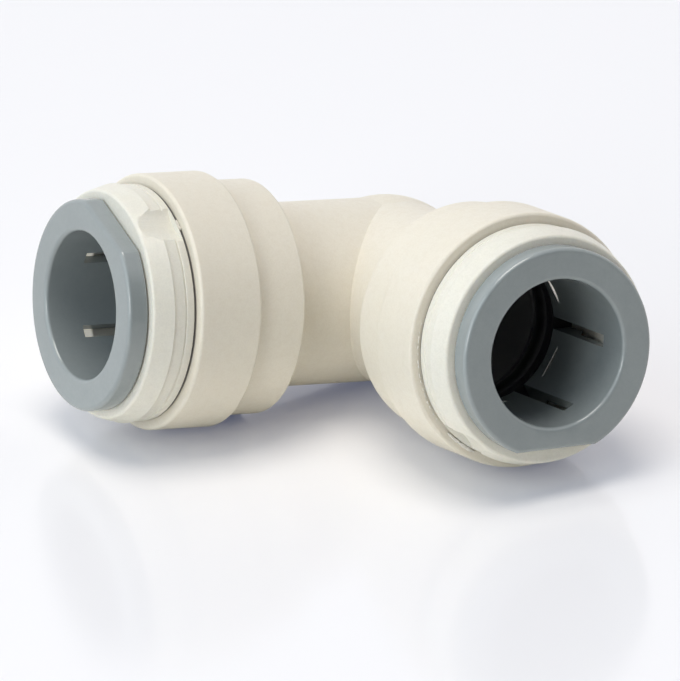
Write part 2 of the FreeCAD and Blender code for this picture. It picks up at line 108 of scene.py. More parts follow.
class Graph:
    """A node tree under construction, with one way to add a node."""

    def __init__(self, tree: bpy.types.NodeTree) -> None:
        """Starts from an empty tree."""
        self.tree = tree
        tree.nodes.clear()

    def add(self, kind: str, settings: dict | None = None,
            inputs: dict | None = None) -> bpy.types.Node:
        """Adds a node.

        Args:
            kind: Blender's type name of the node.
            settings: The node's own properties, which are set first.
            inputs: Values or signals by the name or number of their socket.

        Returns:
            The node.
        """
        made = self.tree.nodes.new(kind)
        for name, setting in (settings or {}).items():
            setattr(made, name, setting)
        for key, term in (inputs or {}).items():
            if isinstance(term, Signal):
                self.tree.links.new(term.socket, made.inputs[key])
            else:
                made.inputs[key].default_value = term
        return made

    def node(self, kind: str, settings: dict | None = None, inputs: dict | None = None,
             output: int | str = 0) -> Signal:
        """Adds a node as add does and returns the signal on one of its outputs."""
        return Signal(self, self.add(kind, settings, inputs).outputs[output])

    def noise(self, place: Signal, scale: float, detail: float = 2.0,
              roughness: float = 0.5) -> Signal:
        """Adds a noise of so many bumps per metre and returns its value from 0 to 1."""
        inputs = {"Vector": place, "Scale": scale, "Detail": detail, "Roughness": roughness}
        return self.node("ShaderNodeTexNoise", inputs=inputs)

    def mix(self, amount: Term, first: Signal | Rgb, second: Signal | Rgb) -> Signal:
        """Adds a colour mix.

        Args:
            amount: 0 for the first colour and 1 for the second.
            first: A colour or its signal.
            second: A colour or its signal.

        Returns:
            The mixed colour.
        """
        colours = [term if isinstance(term, Signal) else (*term, 1.0) for term in (first, second)]
        factor_socket, first_socket, second_socket, result_socket = 0, 6, 7, 2
        inputs = {factor_socket: amount, first_socket: colours[0], second_socket: colours[1]}
        return self.node("ShaderNodeMix", {"data_type": "RGBA"}, inputs, result_socket)

    def vector(self, operation: str, first: Signal | Vector, second: Signal | Vector | None = None,
               output: str = "Vector") -> Signal:
        """Adds a Vector Math node.

        Args:
            operation: Blender's name of the operation.
            first: The upper vector.
            second: The lower vector, for the operations that take two.
            output: "Vector" or, for a length or a dot product, "Value".

        Returns:
            The node's result.
        """
        inputs = {0: first} if second is None else {0: first, 1: second}
        return self.node("ShaderNodeVectorMath", {"operation": operation}, inputs, output)

    def bump(self, height: Signal, depth: float, under: Signal | None = None) -> Signal:
        """Adds a bump.

        Args:
            height: The relief, from 0 to 1.
            depth: How deep the relief is, in millimetres.
            under: The normal of a bump that lies under this one.

        Returns:
            The bumped normal.
        """
        inputs = {"Height": height, "Distance": depth * MM, "Strength": 1.0}
        if under is not None:
            inputs["Normal"] = under
        return self.node("ShaderNodeBump", inputs=inputs)

    def principled(self, inputs: dict) -> Signal:
        """Adds a Principled shader with its inputs."""
        return self.node("ShaderNodeBsdfPrincipled", inputs=inputs)

    def blend(self, amount: Signal, first: Signal, second: Signal) -> Signal:
        """Adds a shader mix that shows the first at 0 and the second at 1."""
        return self.node("ShaderNodeMixShader", inputs={0: amount, 1: first, 2: second})

    def surface(self, shader: Signal) -> None:
        """Makes a shader the output of the material or the world."""
        owner = "World" if isinstance(self.tree.id_data, bpy.types.World) else "Material"
        self.add(f"ShaderNodeOutput{owner}", inputs={"Surface": shader})


class Slot(Enum):
    """Names of material slots for the body plastic, the collet plastic and the tooth steel."""

    BODY = "body_plastic"
    COLLET = "collet_plastic"
    TOOTH = "tooth_steel"


def new_graph(name: str) -> tuple[bpy.types.Material, Graph, Signal]:
    """Starts a material.

    Args:
        name: The material's name.

    Returns:
        The material, its graph and the surface's own coordinates.
    """
    material = bpy.data.materials.new(name)
    material.use_nodes = True
    graph = Graph(material.node_tree)
    return material, graph, graph.node("ShaderNodeTexCoord", output="Object")


@dataclass(frozen=True)
class MouldedPlastic:
    """Injection-moulded plastic: cloudy tone, fine grain and slow waves from the mould."""

    name: str
    colour: Rgb
    cloud_colour: Rgb
    grain_colour: Rgb
    cloud_scale: float = 75.0
    cloud_span: Span = (0.3, 0.7)
    grain_share: float = 0.5
    grain_scale: float = 5200.0
    grain_depth: float = 0.012
    mottle_size: float = 4.0
    mottle_span: Span = (0.35, 0.75)
    sand_share: float = 0.4
    sand_span: Span = (0.35, 0.7)
    wave_scale: float = 210.0
    wave_depth: float = 0.02
    roughness: float = 0.42
    roughness_spread: float = 0.14
    gloss: float = 0.5
    glow: float = 0.0
    glow_reach: float = 0.8
    glow_tint: Rgb = (1.0, 0.8, 0.55)

    def tone(self, graph: Graph, place: Signal, grain: Signal, mottle: Signal) -> Signal:
        """Mixes the base colour.

        Args:
            graph: The material's graph.
            place: The surface's own coordinates.
            grain: The fine noise that the relief uses too.
            mottle: The coarser noise that the roughness uses too.

        Returns:
            The base colour.
        """
        cloud = graph.noise(place, self.cloud_scale, detail=3.0).ramp(*self.cloud_span)
        tone = graph.mix(cloud, self.colour, self.cloud_colour)
        tone = graph.mix(mottle * self.grain_share, tone, self.grain_colour)
        return graph.mix(grain.ramp(*self.sand_span) * self.sand_share, tone, self.grain_colour)

    def further(self, graph: Graph, place: Signal) -> dict:
        """Returns the shader's inputs beyond those of any moulded plastic."""
        return {}

    def make(self) -> bpy.types.Material:
        """Builds the material.

        Returns:
            The material.
        """
        material, graph, place = new_graph(self.name)
        grain = graph.noise(place, self.grain_scale, detail=3.0, roughness=0.62)
        coarse = graph.noise(place, self.grain_scale / self.mottle_size, detail=4.0, roughness=0.7)
        mottle = coarse.ramp(*self.mottle_span)
        waves = graph.bump(graph.noise(place, self.wave_scale), self.wave_depth)
        inputs = {
            "Base Color": self.tone(graph, place, grain, mottle),
            "Roughness": mottle.about(self.roughness, self.roughness_spread),
            "Normal": graph.bump(grain, self.grain_depth, waves),
            "Specular IOR Level": self.gloss,
            "Subsurface Weight": self.glow,
            "Subsurface Radius": self.glow_tint,
            "Subsurface Scale": self.glow_reach * MM,
        }
        inputs.update(self.further(graph, place))
        graph.surface(graph.principled(inputs))
        return material


@dataclass(frozen=True)
class StampedSteel:
    """Thin stainless strip with the streaks of its rolling."""

    name: str
    colour: Rgb = (0.74, 0.72, 0.68)
    streak_colour: Rgb = (0.48, 0.46, 0.43)
    streak_scale: float = 900.0
    streak_stretch: Place = (1.0, 1.0, 9.0)
    streak_span: Span = (0.3, 0.8)
    streak_depth: float = 0.006
    roughness: float = 0.16
    roughness_spread: float = 0.1

    def make(self) -> bpy.types.Material:
        """Builds the material.

        Returns:
            The material.
        """
        material, graph, place = new_graph(self.name)
        mapping = {"Vector": place, "Scale": self.streak_stretch}
        stretched = graph.node("ShaderNodeMapping", inputs=mapping)
        streak = graph.noise(stretched, self.streak_scale, detail=3.0, roughness=0.7)
        graph.surface(graph.principled({
            "Base Color": graph.mix(streak.ramp(*self.streak_span), self.colour, self.streak_colour),
            "Metallic": 1.0,
            "Roughness": streak.about(self.roughness, self.roughness_spread),
            "Normal": graph.bump(streak, self.streak_depth),
        }))
        return material


@dataclass(frozen=True)
class SealRubber:
    """Black rubber with a dull bloom and a trace of grease."""

    name: str
    colour: Rgb = (0.012, 0.012, 0.013)
    bloom_colour: Rgb = (0.035, 0.035, 0.036)
    bloom_scale: float = 260.0
    bloom_span: Span = (0.4, 0.7)
    grain_scale: float = 2200.0
    grain_depth: float = 0.008
    roughness: float = 0.445
    roughness_spread: float = 0.25

    def make(self) -> bpy.types.Material:
        """Builds the material.

        Returns:
            The material.
        """
        material, graph, place = new_graph(self.name)
        patches = graph.noise(place, self.bloom_scale, detail=4.0, roughness=0.6)
        bloom = patches.ramp(*self.bloom_span)
        graph.surface(graph.principled({
            "Base Color": graph.mix(bloom, self.colour, self.bloom_colour),
            "Roughness": bloom.about(self.roughness, self.roughness_spread),
            "Normal": graph.bump(graph.noise(place, self.grain_scale), self.grain_depth),
        }))
        return material


@dataclass(frozen=True)
class GlossyTable:
    """The white table that the elbow lies on, with a faint mirror image and a pale veil."""

    name: str
    colour: Rgb = (1.0, 0.982, 0.95)
    patch_scale: float = 9.0
    roughness: float = 0.13
    roughness_spread: float = 0.05
    veil: Rgb = (0.48, 0.58, 1.0)
    veil_share: float = 0.12

    def make(self) -> bpy.types.Material:
        """Builds the material, whose veil only the camera sees.

        Returns:
            The material.
        """
        material, graph, place = new_graph(self.name)
        uneven = graph.noise(place, self.patch_scale)
        table = graph.principled({
            "Base Color": (*self.colour, 1.0),
            "Roughness": uneven.about(self.roughness, self.roughness_spread),
        })
        veil = graph.node("ShaderNodeEmission", inputs={"Color": (*self.veil, 1.0)})
        seen = graph.node("ShaderNodeLightPath", output="Is Camera Ray")
        graph.surface(graph.blend(seen * self.veil_share, table, veil))
        return material


@dataclass(frozen=True)
class Ring:
    """One circle of a turned piece, with the rounding of its edge."""

    radius: float
    height: float
    rounding: float = 0.0
    steps: int = 3


class Bench:
    """Operator recipes that the pieces share."""

    AROUND = 216
    MERGE = 0.002
    NEAR = 0.004

    @staticmethod
    def clear() -> None:
        """Leaves edit mode and deselects everything."""
        if bpy.context.mode != "OBJECT":
            bpy.ops.object.mode_set(mode="OBJECT")
        bpy.ops.object.select_all(action="DESELECT")

    @staticmethod
    def hold(piece: bpy.types.Object) -> None:
        """Makes a piece the only selected object and the active one.

        Args:
            piece: The piece.
        """
        Bench.clear()
        piece.select_set(True)
        bpy.context.view_layer.objects.active = piece

    @staticmethod
    def edit_all() -> None:
        """Enters edit mode with everything selected."""
        bpy.ops.object.mode_set(mode="EDIT")
        bpy.ops.mesh.select_all(action="SELECT")

    @staticmethod
    def named(name: str) -> bpy.types.Object:
        """Names the primitive that was added last.

        Args:
            name: The name of the piece and its mesh.

        Returns:
            The piece.
        """
        piece = bpy.context.object
        piece.name = piece.data.name = name
        return piece

    @staticmethod
    def pick(piece: bpy.types.Object, wanted: Callable[[bmesh.types.BMEdge], bool]) -> int:
        """Selects the wanted edges and nothing else.

        Args:
            piece: The piece, which is being edited.
            wanted: Says whether an edge belongs.

        Returns:
            How many edges are selected.
        """
        bpy.ops.mesh.select_mode(type="EDGE")
        bpy.ops.mesh.select_all(action="DESELECT")
        shape = bmesh.from_edit_mesh(piece.data)
        found = [edge for edge in shape.edges if wanted(edge)]
        for edge in found:
            edge.select_set(True)
        bmesh.update_edit_mesh(piece.data)
        return len(found)

    @staticmethod
    def turned(name: str, rings: list[Ring]) -> bpy.types.Object:
        """Extrudes a circle from ring to ring until the section closes, and rounds its edges.

        Args:
            name: The piece's name.
            rings: The corners of the section, in order.

        Returns:
            The piece, about its Z axis.
        """
        Bench.clear()
        first = rings[0]
        bpy.ops.mesh.primitive_circle_add(vertices=Bench.AROUND, radius=first.radius * MM)
        piece = Bench.named(name)
        Bench.edit_all()
        bpy.ops.mesh.select_mode(type="EDGE")
        bpy.ops.transform.translate(value=(0.0, 0.0, first.height * MM))
        for last, ring in zip(rings, rings[1:] + rings[:1]):
            rise = (ring.height - last.height) * MM
            bpy.ops.mesh.extrude_region_move(TRANSFORM_OT_translate={"value": (0.0, 0.0, rise)})
            share = ring.radius / last.radius
            middle = (0.0, 0.0, ring.height * MM)
            bpy.ops.transform.resize(value=(share, share, 1.0), center_override=middle)
        bpy.ops.mesh.select_all(action="SELECT")
        bpy.ops.mesh.remove_doubles(threshold=Bench.MERGE * MM)
        bpy.ops.mesh.normals_make_consistent(inside=False)
        for ring in rings:
            if ring.rounding > 0.0:
                Bench.round_ring(piece, ring)
        Bench.clear()
        return piece

    @staticmethod
    def round_ring(piece: bpy.types.Object, ring: Ring) -> None:
        """Bevels the circular edge that lies at a ring.

        Args:
            piece: The piece, which is being edited.
            ring: The edge's place and rounding.
        """
        def on_ring(edge: bmesh.types.BMEdge) -> bool:
            """Says whether both ends of an edge lie on the ring."""
            return all(
                abs(math.hypot(vert.co.x, vert.co.y) - ring.radius * MM) < Bench.NEAR * MM
                and abs(vert.co.z - ring.height * MM) < Bench.NEAR * MM for vert in edge.verts)

        if Bench.pick(piece, on_ring) == 0:
            raise RuntimeError(f"{piece.name} has no ring at {ring}")
        bpy.ops.mesh.bevel(offset=ring.rounding * MM, segments=ring.steps, affect="EDGES")

    @staticmethod
    def block(name: str, low: Vector, high: Vector) -> bpy.types.Object:
        """Adds a box and leaves it being edited.

        Args:
            name: The box's name.
            low: Its lowest corner, in millimetres.
            high: Its highest corner, in millimetres.

        Returns:
            The box.
        """
        Bench.clear()
        bpy.ops.mesh.primitive_cube_add(size=1.0)
        piece = Bench.named(name)
        Bench.edit_all()
        bpy.ops.transform.resize(value=(high - low) * MM, center_override=(0.0, 0.0, 0.0))
        bpy.ops.transform.translate(value=(high + low) / 2.0 * MM)
        return piece

    @staticmethod
    def apply(piece: bpy.types.Object, kind: str, **settings: object) -> None:
        """Adds one modifier and applies it.

        Args:
            piece: The piece.
            kind: Blender's type name of the modifier.
            settings: The modifier's own properties.
        """
        Bench.hold(piece)
        modifier = piece.modifiers.new(kind.title(), kind)
        for name, setting in settings.items():
            setattr(modifier, name, setting)
        bpy.ops.object.modifier_apply(modifier=modifier.name)

    @staticmethod
    def cut(piece: bpy.types.Object, cutter: bpy.types.Object) -> None:
        """Cuts a cutter out of a piece and puts the cutter away."""
        Bench.apply(piece, "BOOLEAN", operation="DIFFERENCE", solver="EXACT", object=cutter)
        bpy.data.objects.remove(cutter)

    @staticmethod
    def place(piece: bpy.types.Object, matrix: Matrix) -> None:
        """Moves a piece and keeps the move in its mesh.

        Args:
            piece: The piece.
            matrix: The move.
        """
        Bench.hold(piece)
        piece.matrix_world = matrix
        bpy.ops.object.transform_apply(location=True, rotation=True, scale=True)

    @staticmethod
    def smooth(piece: bpy.types.Object, degrees: float = 30.0) -> None:
        """Smooths a piece's shading.

        Args:
            piece: The piece.
            degrees: The angle above which an edge stays sharp.
        """
        Bench.hold(piece)
        bpy.ops.object.shade_smooth_by_angle(angle=math.radians(degrees))
        Bench.apply(piece, "WEIGHTED_NORMAL", keep_sharp=True, weight=80)


@dataclass(frozen=True)
class Rest:
    """How the elbow lies: leaned back onto its corner, with its centre above the table."""

    centre: Place = (-11.748617, 11.748617, 9.75)
    tilt_axis: Place = (-1.0, -1.0, 0.0)
    tilt_sine: float = 0.20948326

    def matrix(self) -> Matrix:
        """Returns the placement of the level elbow in the frame."""
        lean = Matrix.Rotation(math.asin(self.tilt_sine), 4, Vector(self.tilt_axis))
        return Matrix.Translation(Vector(self.centre) * MM) @ lean


@dataclass(frozen=True)
class Port:
    """One port: its letter, how Z turns onto its axis, and the clock angles of its pieces."""

    letter: str
    turn: Matrix
    collet_clock: float
    recess_clock: float
    rest: Rest = Rest()

    @property
    def unit(self) -> str:
        """Returns the name of the body that slides in the port."""
        return f"collet_unit_{self.letter}"

    def seat(self, clock: float = 0.0) -> Matrix:
        """Returns the placement of a piece that was modelled about Z, at a clock angle."""
        return self.rest.matrix() @ self.turn @ Matrix.Rotation(math.radians(clock), 4, "Z")

    def polar(self, graph: Graph, place: Signal) -> tuple[Signal, Signal]:
        """Measures the surface from the port's axis.

        Args:
            graph: The material's graph.
            place: The surface's own coordinates.

        Returns:
            How far the surface lies along the axis and how far off it.
        """
        axis = self.seat().to_3x3() @ Vector((0.0, 0.0, 1.0))
        arm = graph.vector("SUBTRACT", place, Vector(self.rest.centre) * MM)
        along = graph.vector("DOT_PRODUCT", arm, axis, "Value")
        across = graph.vector("LENGTH", graph.vector("CROSS_PRODUCT", arm, axis), output="Value")
        return along, across


PORT_A = Port("a", turn=Matrix.Rotation(math.radians(90.0), 4, "X"),
              collet_clock=33.0, recess_clock=52.2)
PORT_B = Port("b", turn=Matrix.Rotation(math.radians(120.0), 4, Vector((1.0, 1.0, 1.0))),
              collet_clock=-119.0, recess_clock=-128.0)


@dataclass(frozen=True)
class BodyPlastic(MouldedPlastic):
    """The body's plastic, with painted shade that darkens it inside the bores and down in the weld
    grooves.
    """

    # painted shade: the dark colour laid inside the bores and the weld grooves
    painted_shade_colour: Rgb = (0.27, 0.265, 0.27)
    bore_reach: float = 8.6
    bore_end: float = 20.0
    groove_reach: float = 11.95
    groove_start: float = 28.0
    edge_blur: float = 0.08
    corner_blur: float = 1.0

    def painted_shade_mask(self, graph: Graph, place: Signal, port: Port) -> Signal:
        """Finds the bore and the groove of a port, where shade is painted.

        Args:
            graph: The material's graph.
            place: The surface's own coordinates.
            port: The port.

        Returns:
            1 inside the bore and the groove and 0 elsewhere.
        """
        along, across = port.polar(graph, place)
        widening = along.ramp(self.bore_end * MM, self.groove_start * MM)
        reach = widening * ((self.groove_reach - self.bore_reach) * MM) + self.bore_reach * MM
        outside = (across - reach).ramp(-self.edge_blur * MM, self.edge_blur * MM)
        return (1.0 - outside) * along.ramp(0.0, self.corner_blur * MM)

    def tone(self, graph: Graph, place: Signal, grain: Signal, mottle: Signal) -> Signal:
        """Mixes the base colour as for any moulded plastic and paints shade into the bores and
        grooves.

        Args:
            graph: The material's graph.
            place: The surface's own coordinates.
            grain: The fine noise that the relief uses too.
            mottle: The coarser noise that the roughness uses too.

        Returns:
            The base colour.
        """
        tone = super().tone(graph, place, grain, mottle)
        # painted shade in the bores and grooves of both ports
        painted_shade_mask = self.painted_shade_mask(graph, place, PORT_A).larger(self.painted_shade_mask(graph, place, PORT_B))
        return graph.mix(painted_shade_mask, tone, self.painted_shade_colour)


@dataclass(frozen=True)
class CapPlastic(MouldedPlastic):
    """The caps' plastic, with painted light: the lip behind the slots glows."""

    # painted light: the colour that the lip behind the slots emits
    painted_lip_glow: Rgb = (0.36, 0.35, 0.31)
    lip_reach: float = 9.2
    lip_start: float = 29.9
    lip_end: float = 32.2
    reach_blur: float = 0.1
    start_blur: float = 0.5
    end_blur: float = 0.2

    def further(self, graph: Graph, place: Signal) -> dict:
        """Adds the painted glow on the lips of both caps.

        Args:
            graph: The material's graph.
            place: The surface's own coordinates.

        Returns:
            The shader's emission inputs for that painted glow.
        """
        lips = []
        for port in (PORT_A, PORT_B):
            along, across = port.polar(graph, place)
            inner = 1.0 - across.ramp((self.lip_reach - self.reach_blur) * MM, self.lip_reach * MM)
            behind = along.ramp(self.lip_start * MM, (self.lip_start + self.start_blur) * MM)
            before = 1.0 - along.ramp((self.lip_end - self.end_blur) * MM, self.lip_end * MM)
            lips.append(inner * behind * before)
        # painted light, emitted where the lip shows through the slots
        light = graph.mix(lips[0].larger(lips[1]), (0.0, 0.0, 0.0), self.painted_lip_glow)
        return {"Emission Color": light, "Emission Strength": 1.0}


# The body's finish paints shade into its bores and weld grooves.
CREAM = BodyPlastic(
    "cream_acetal", colour=(0.805, 0.758, 0.655), cloud_colour=(0.79, 0.742, 0.635),
    grain_colour=(0.745, 0.69, 0.58), glow=0.08)
# The caps' finish paints a glow onto their lips behind the slots.
CAP_CREAM = CapPlastic(
    "cap_acetal", colour=(0.815, 0.795, 0.71), cloud_colour=(0.80, 0.776, 0.687),
    grain_colour=(0.73, 0.71, 0.63), glow=0.15)
FLASH = MouldedPlastic(
    "weld_flash", colour=(0.86, 0.84, 0.78), cloud_colour=(0.81, 0.78, 0.71),
    grain_colour=(0.70, 0.66, 0.58), wave_depth=0.06, glow=0.1)
GREY = MouldedPlastic(
    "collet_grey", colour=(0.288, 0.324, 0.33), cloud_colour=(0.275, 0.308, 0.314),
    grain_colour=(0.244, 0.276, 0.281), grain_share=0.35, grain_scale=2600.0,
    grain_depth=0.0012, sand_share=0.1, wave_depth=0.01, roughness=0.21,
    roughness_spread=0.05, gloss=0.85)
DARK = MouldedPlastic(
    "spacer_dark", colour=(0.045, 0.046, 0.05), cloud_colour=(0.038, 0.039, 0.042),
    grain_colour=(0.03, 0.03, 0.032), roughness=0.45)
STEEL = StampedSteel("tooth_steel")
RUBBER = SealRubber("seal_rubber")
TABLE = GlossyTable("white_table")


def dress(piece: bpy.types.Object, finish: bpy.types.Material) -> None:
    """Gives a piece one finish all over."""
    piece.data.materials.clear()
    piece.data.materials.append(finish)


def dress_node(node: str, finish: bpy.types.Material) -> None:
    """Gives a CAD node that stays in sight its finish."""
    dress(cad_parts[node], finish)
    LOG.info("%s dressed", node)


def settle(piece: bpy.types.Object, finish: bpy.types.Material, body: str,
           node: str | None = None) -> None:
    """Dresses a finished piece and ties it to its body and its CAD node.

    Args:
        piece: The finished piece.
        finish: Its material.
        body: The body that it rides on.
        node: The CAD node that it replaces, if there is one.
    """
    dress(piece, finish)
    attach(piece, body)
    if node is not None:
        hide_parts(node)
    LOG.info("%s on %s, %d faces", piece.name, body, len(piece.data.polygons))


@dataclass
class ElbowBody:
    """The moulded body with its corner ball, necks and rings, which keeps its own solid."""

    node: str = "elbow_body"

    def build(self, finish: bpy.types.Material) -> None:
        """Dresses the body."""
        dress_node(self.node, finish)


@dataclass
class HiddenRings:
    """The seal and the spacer of a port, which keep their own solids."""

    port: Port

    def build(self, rubber: bpy.types.Material, dark: bpy.types.Material) -> None:
        """Dresses the two rings."""
        dress_node(f"seal_ring_{self.port.letter}", rubber)
        dress_node(f"spacer_ring_{self.port.letter}", dark)


@dataclass
class RetainingCap:
    """The cap that holds the collet: band, collar, lip, cone and skirt, with a side recess."""

    port: Port
    lip: float = 8.85
    lip_round: float = 0.12
    front: float = 11.7
    front_round: float = 0.26
    front_steps: int = 5
    collar: float = 12.3
    collar_round: float = 0.07
    band: float = 12.12
    band_round: float = 0.09
    ledge: float = 11.35
    skirt: float = 10.95
    skirt_round: float = 0.1
    chamber: float = 10.1
    line_depth: float = 0.15
    line_width: float = 0.24
    skirt_end: float = 21.05
    cone_back: float = 25.35
    rim: float = 28.65
    back: float = 28.95
    cone_front: float = 29.65
    line: float = 29.85
    collar_back: float = 31.25
    face: float = 33.45
    recess_depth: float = 0.75
    recess_radius: float = 5.0
    recess_around: int = 160
    recess_rise: float = 5.5
    recess_lift: float = 0.01

    def section(self) -> list[Ring]:
        """Returns the corners of the cap's section."""
        half_line = self.line_width / 2.0
        return [
            Ring(self.lip, self.face, self.lip_round),
            Ring(self.front, self.face, self.front_round, self.front_steps),
            Ring(self.collar, self.collar_back, self.collar_round),
            Ring(self.band, self.collar_back),
            Ring(self.band, self.line + half_line),
            Ring(self.band - self.line_depth, self.line),
            Ring(self.band, self.line - half_line),
            Ring(self.band, self.back, self.band_round),
            Ring(self.ledge, self.back),
            Ring(self.ledge, self.rim),
            Ring(self.skirt, self.rim),
            Ring(self.skirt, self.skirt_end, self.skirt_round),
            Ring(self.chamber, self.skirt_end, self.skirt_round),
            Ring(self.chamber, self.cone_back),
            Ring(self.lip, self.cone_front),
        ]

    def recess(self) -> bpy.types.Object:
        """Makes the cutter of the moulding recess, on the X side of the cap.

        Returns:
            The cutter, a long cylinder that rises outwards from the rim.
        """
        Bench.clear()
        length = 2.0 * (self.face - self.rim)
        bpy.ops.mesh.primitive_cylinder_add(
            vertices=self.recess_around, radius=self.recess_radius * MM, depth=length * MM)
        cutter = Bench.named("recess")
        Bench.edit_all()
        bpy.ops.transform.translate(value=(0.0, 0.0, (length / 2.0 + self.recess_lift) * MM))
        bpy.ops.transform.rotate(value=-math.radians(self.recess_rise), orient_axis="Y",
                                 center_override=(0.0, 0.0, 0.0))
        out = self.band - self.recess_depth + self.recess_radius
        bpy.ops.transform.translate(value=(out * MM, 0.0, self.rim * MM))
        return cutter

    def build(self, finish: bpy.types.Material) -> None:
        """Turns the cap and cuts its recess.

        Args:
            finish: The cap's material.
        """
        name = f"retaining_cap_{self.port.letter}"
        cap = Bench.turned(f"{name}_piece", self.section())
        cutter = self.recess()
        Bench.place(cutter, Matrix.Rotation(math.radians(self.port.recess_clock), 4, "Z"))
        Bench.cut(cap, cutter)
        Bench.place(cap, self.port.seat())
        Bench.smooth(cap)
        settle(cap, finish, FITTING, name)


@dataclass
class Collet:
    """The sliding collet: flange with its flat, slotted barrel and bumped fingers.

    Its cutters reach beyond it by the spare length.
    """

    port: Port
    bore: float = 7.6
    barrel: float = 8.75
    flange: float = 10.85
    bump: float = 9.9
    bump_lead: float = 0.4
    bump_ramp: float = 1.4
    end: float = 21.55
    bump_top: float = 23.75
    slot_top: float = 31.75
    flange_back: float = 33.65
    face: float = 35.75
    end_round: float = 0.08
    bump_round: float = 0.15
    root_round: float = 0.1
    back_round: float = 0.08
    mouth_round: float = 0.45
    flange_round: float = 0.45
    round_steps: int = 6
    flat: float = 9.85
    flat_angle: float = 32.0
    flat_undercut: float = 0.05
    slot_width: float = 1.3
    fingers: int = 6
    spare: float = 1.0

    def section(self) -> list[Ring]:
        """Returns the corners of the collet's section."""
        return [
            Ring(self.bore, self.end, self.end_round),
            Ring(self.bump - self.bump_lead, self.end),
            Ring(self.bump, self.end + self.bump_lead),
            Ring(self.bump, self.bump_top, self.bump_round),
            Ring(self.barrel, self.bump_top + self.bump_ramp),
            Ring(self.barrel, self.flange_back, self.root_round),
            Ring(self.flange, self.flange_back, self.back_round),
            Ring(self.flange, self.face),
            Ring(self.bore, self.face, self.mouth_round, self.round_steps),
        ]

    def cut_flat(self, collet: bpy.types.Object) -> None:
        """Cuts the flat from the side of the flange.

        Args:
            collet: The turned collet.
        """
        beyond = self.flange + self.spare
        low = Vector((self.flat, -beyond, self.flange_back - self.flat_undercut))
        flat = Bench.block("flat", low, Vector((beyond, beyond, self.face + self.spare)))
        Bench.place(flat, Matrix.Rotation(math.radians(self.flat_angle), 4, "Z"))
        Bench.cut(collet, flat)

    def round_face(self, collet: bpy.types.Object) -> None:
        """Bevels the flange's front edge, all round and along the flat.

        Args:
            collet: The collet with its flat cut.
        """
        halfway = (self.bore + self.flat) / 2.0 * MM

        def on_rim(edge: bmesh.types.BMEdge) -> bool:
            """Says whether both ends of an edge lie on the face, nearer the rim than the mouth."""
            return all(
                math.hypot(vert.co.x, vert.co.y) > halfway
                and abs(vert.co.z - self.face * MM) < Bench.NEAR * MM for vert in edge.verts)

        Bench.hold(collet)
        Bench.edit_all()
        bpy.ops.mesh.remove_doubles(threshold=Bench.NEAR * MM)
        Bench.pick(collet, on_rim)
        bpy.ops.mesh.bevel(offset=self.flange_round * MM, segments=self.round_steps, affect="EDGES")

    def cut_slots(self, collet: bpy.types.Object) -> None:
        """Cuts the slots that part the fingers.

        Args:
            collet: The collet with its flange finished.
        """
        half = self.slot_width / 2.0
        for number in range(self.fingers):
            low = Vector((self.bore - 2.0 * self.spare, -half, self.end - self.spare))
            slot = Bench.block("slot", low, Vector((self.bump + self.spare, half, self.slot_top)))
            Bench.place(slot, Matrix.Rotation(math.tau * number / self.fingers, 4, "Z"))
            Bench.cut(collet, slot)

    def build(self, finish: bpy.types.Material) -> None:
        """Turns the collet and cuts its flat and slots.

        Args:
            finish: The collet's material.
        """
        name = f"collet_{self.port.letter}"
        collet = Bench.turned(f"{name}_piece", self.section())
        self.cut_flat(collet)
        self.round_face(collet)
        self.cut_slots(collet)
        Bench.place(collet, self.port.seat(self.port.collet_clock))
        Bench.smooth(collet)
        settle(collet, finish, self.port.unit, name)


@dataclass
class GripTeeth:
    """The ring of separate steel teeth, one in the middle of each finger.

    A tooth leans inwards from its root, which is held in the finger, to its gripping edge.
    """

    port: Port
    count: int = 6
    edge: float = 7.4
    root: float = 9.24
    width: float = 4.6
    thickness: float = 0.24
    place: float = 23.1
    lean: float = 0.7
    corner_round: float = 0.45
    edge_round: float = 0.1
    round_steps: int = 4

    def tooth(self, name: str) -> bpy.types.Object:
        """Makes one tooth, a plate with rounded corners and edges.

        Args:
            name: The tooth's name.

        Returns:
            The tooth, which reaches from Z along X.
        """
        def upright(edge: bmesh.types.BMEdge) -> bool:
            """Says whether an edge runs through the plate's thickness."""
            return abs(edge.verts[0].co.z - edge.verts[1].co.z) > self.thickness / 2.0 * MM

        half_width, half_thickness = self.width / 2.0, self.thickness / 2.0
        reach = math.hypot(self.root - self.edge, self.lean)
        low = Vector((0.0, -half_width, -half_thickness))
        tooth = Bench.block(name, low, Vector((reach, half_width, half_thickness)))
        Bench.pick(tooth, upright)
        bpy.ops.mesh.bevel(offset=self.corner_round * MM, segments=self.round_steps, affect="EDGES")
        Bench.apply(tooth, "BEVEL", width=self.edge_round * MM, segments=self.round_steps,
                    limit_method="ANGLE")
        return tooth

    def build(self, finish: bpy.types.Material) -> None:
        """Makes each tooth and leans it into its finger.

        Args:
            finish: The teeth's material.
        """
        lean = Matrix.Rotation(-math.atan2(self.lean, self.root - self.edge), 4, "Y")
        out = Matrix.Translation(Vector((self.edge, 0.0, self.place)) * MM)
        for number in range(1, self.count + 1):
            name = f"grip_tooth_{self.port.letter}{number}"
            tooth = self.tooth(f"{name}_piece")
            clock = self.port.collet_clock + (2 * number - 1) * 180.0 / self.count
            Bench.place(tooth, self.port.seat(clock) @ out @ lean)
            Bench.smooth(tooth)
            settle(tooth, finish, self.port.unit, name)


@dataclass(frozen=True)
class Crumbs:
    """A row of weld crumbs between two clock angles."""

    start: float
    end: float
    count: int
    size: float
    radius: float


CRUMBS = {
    "a": [Crumbs(start=49.5, end=53.5, count=3, size=0.2, radius=11.95)],
    "b": [
        Crumbs(start=168.0, end=219.0, count=17, size=0.08, radius=12.32),
        Crumbs(start=-131.0, end=-116.0, count=8, size=0.22, radius=12.3),
    ],
}


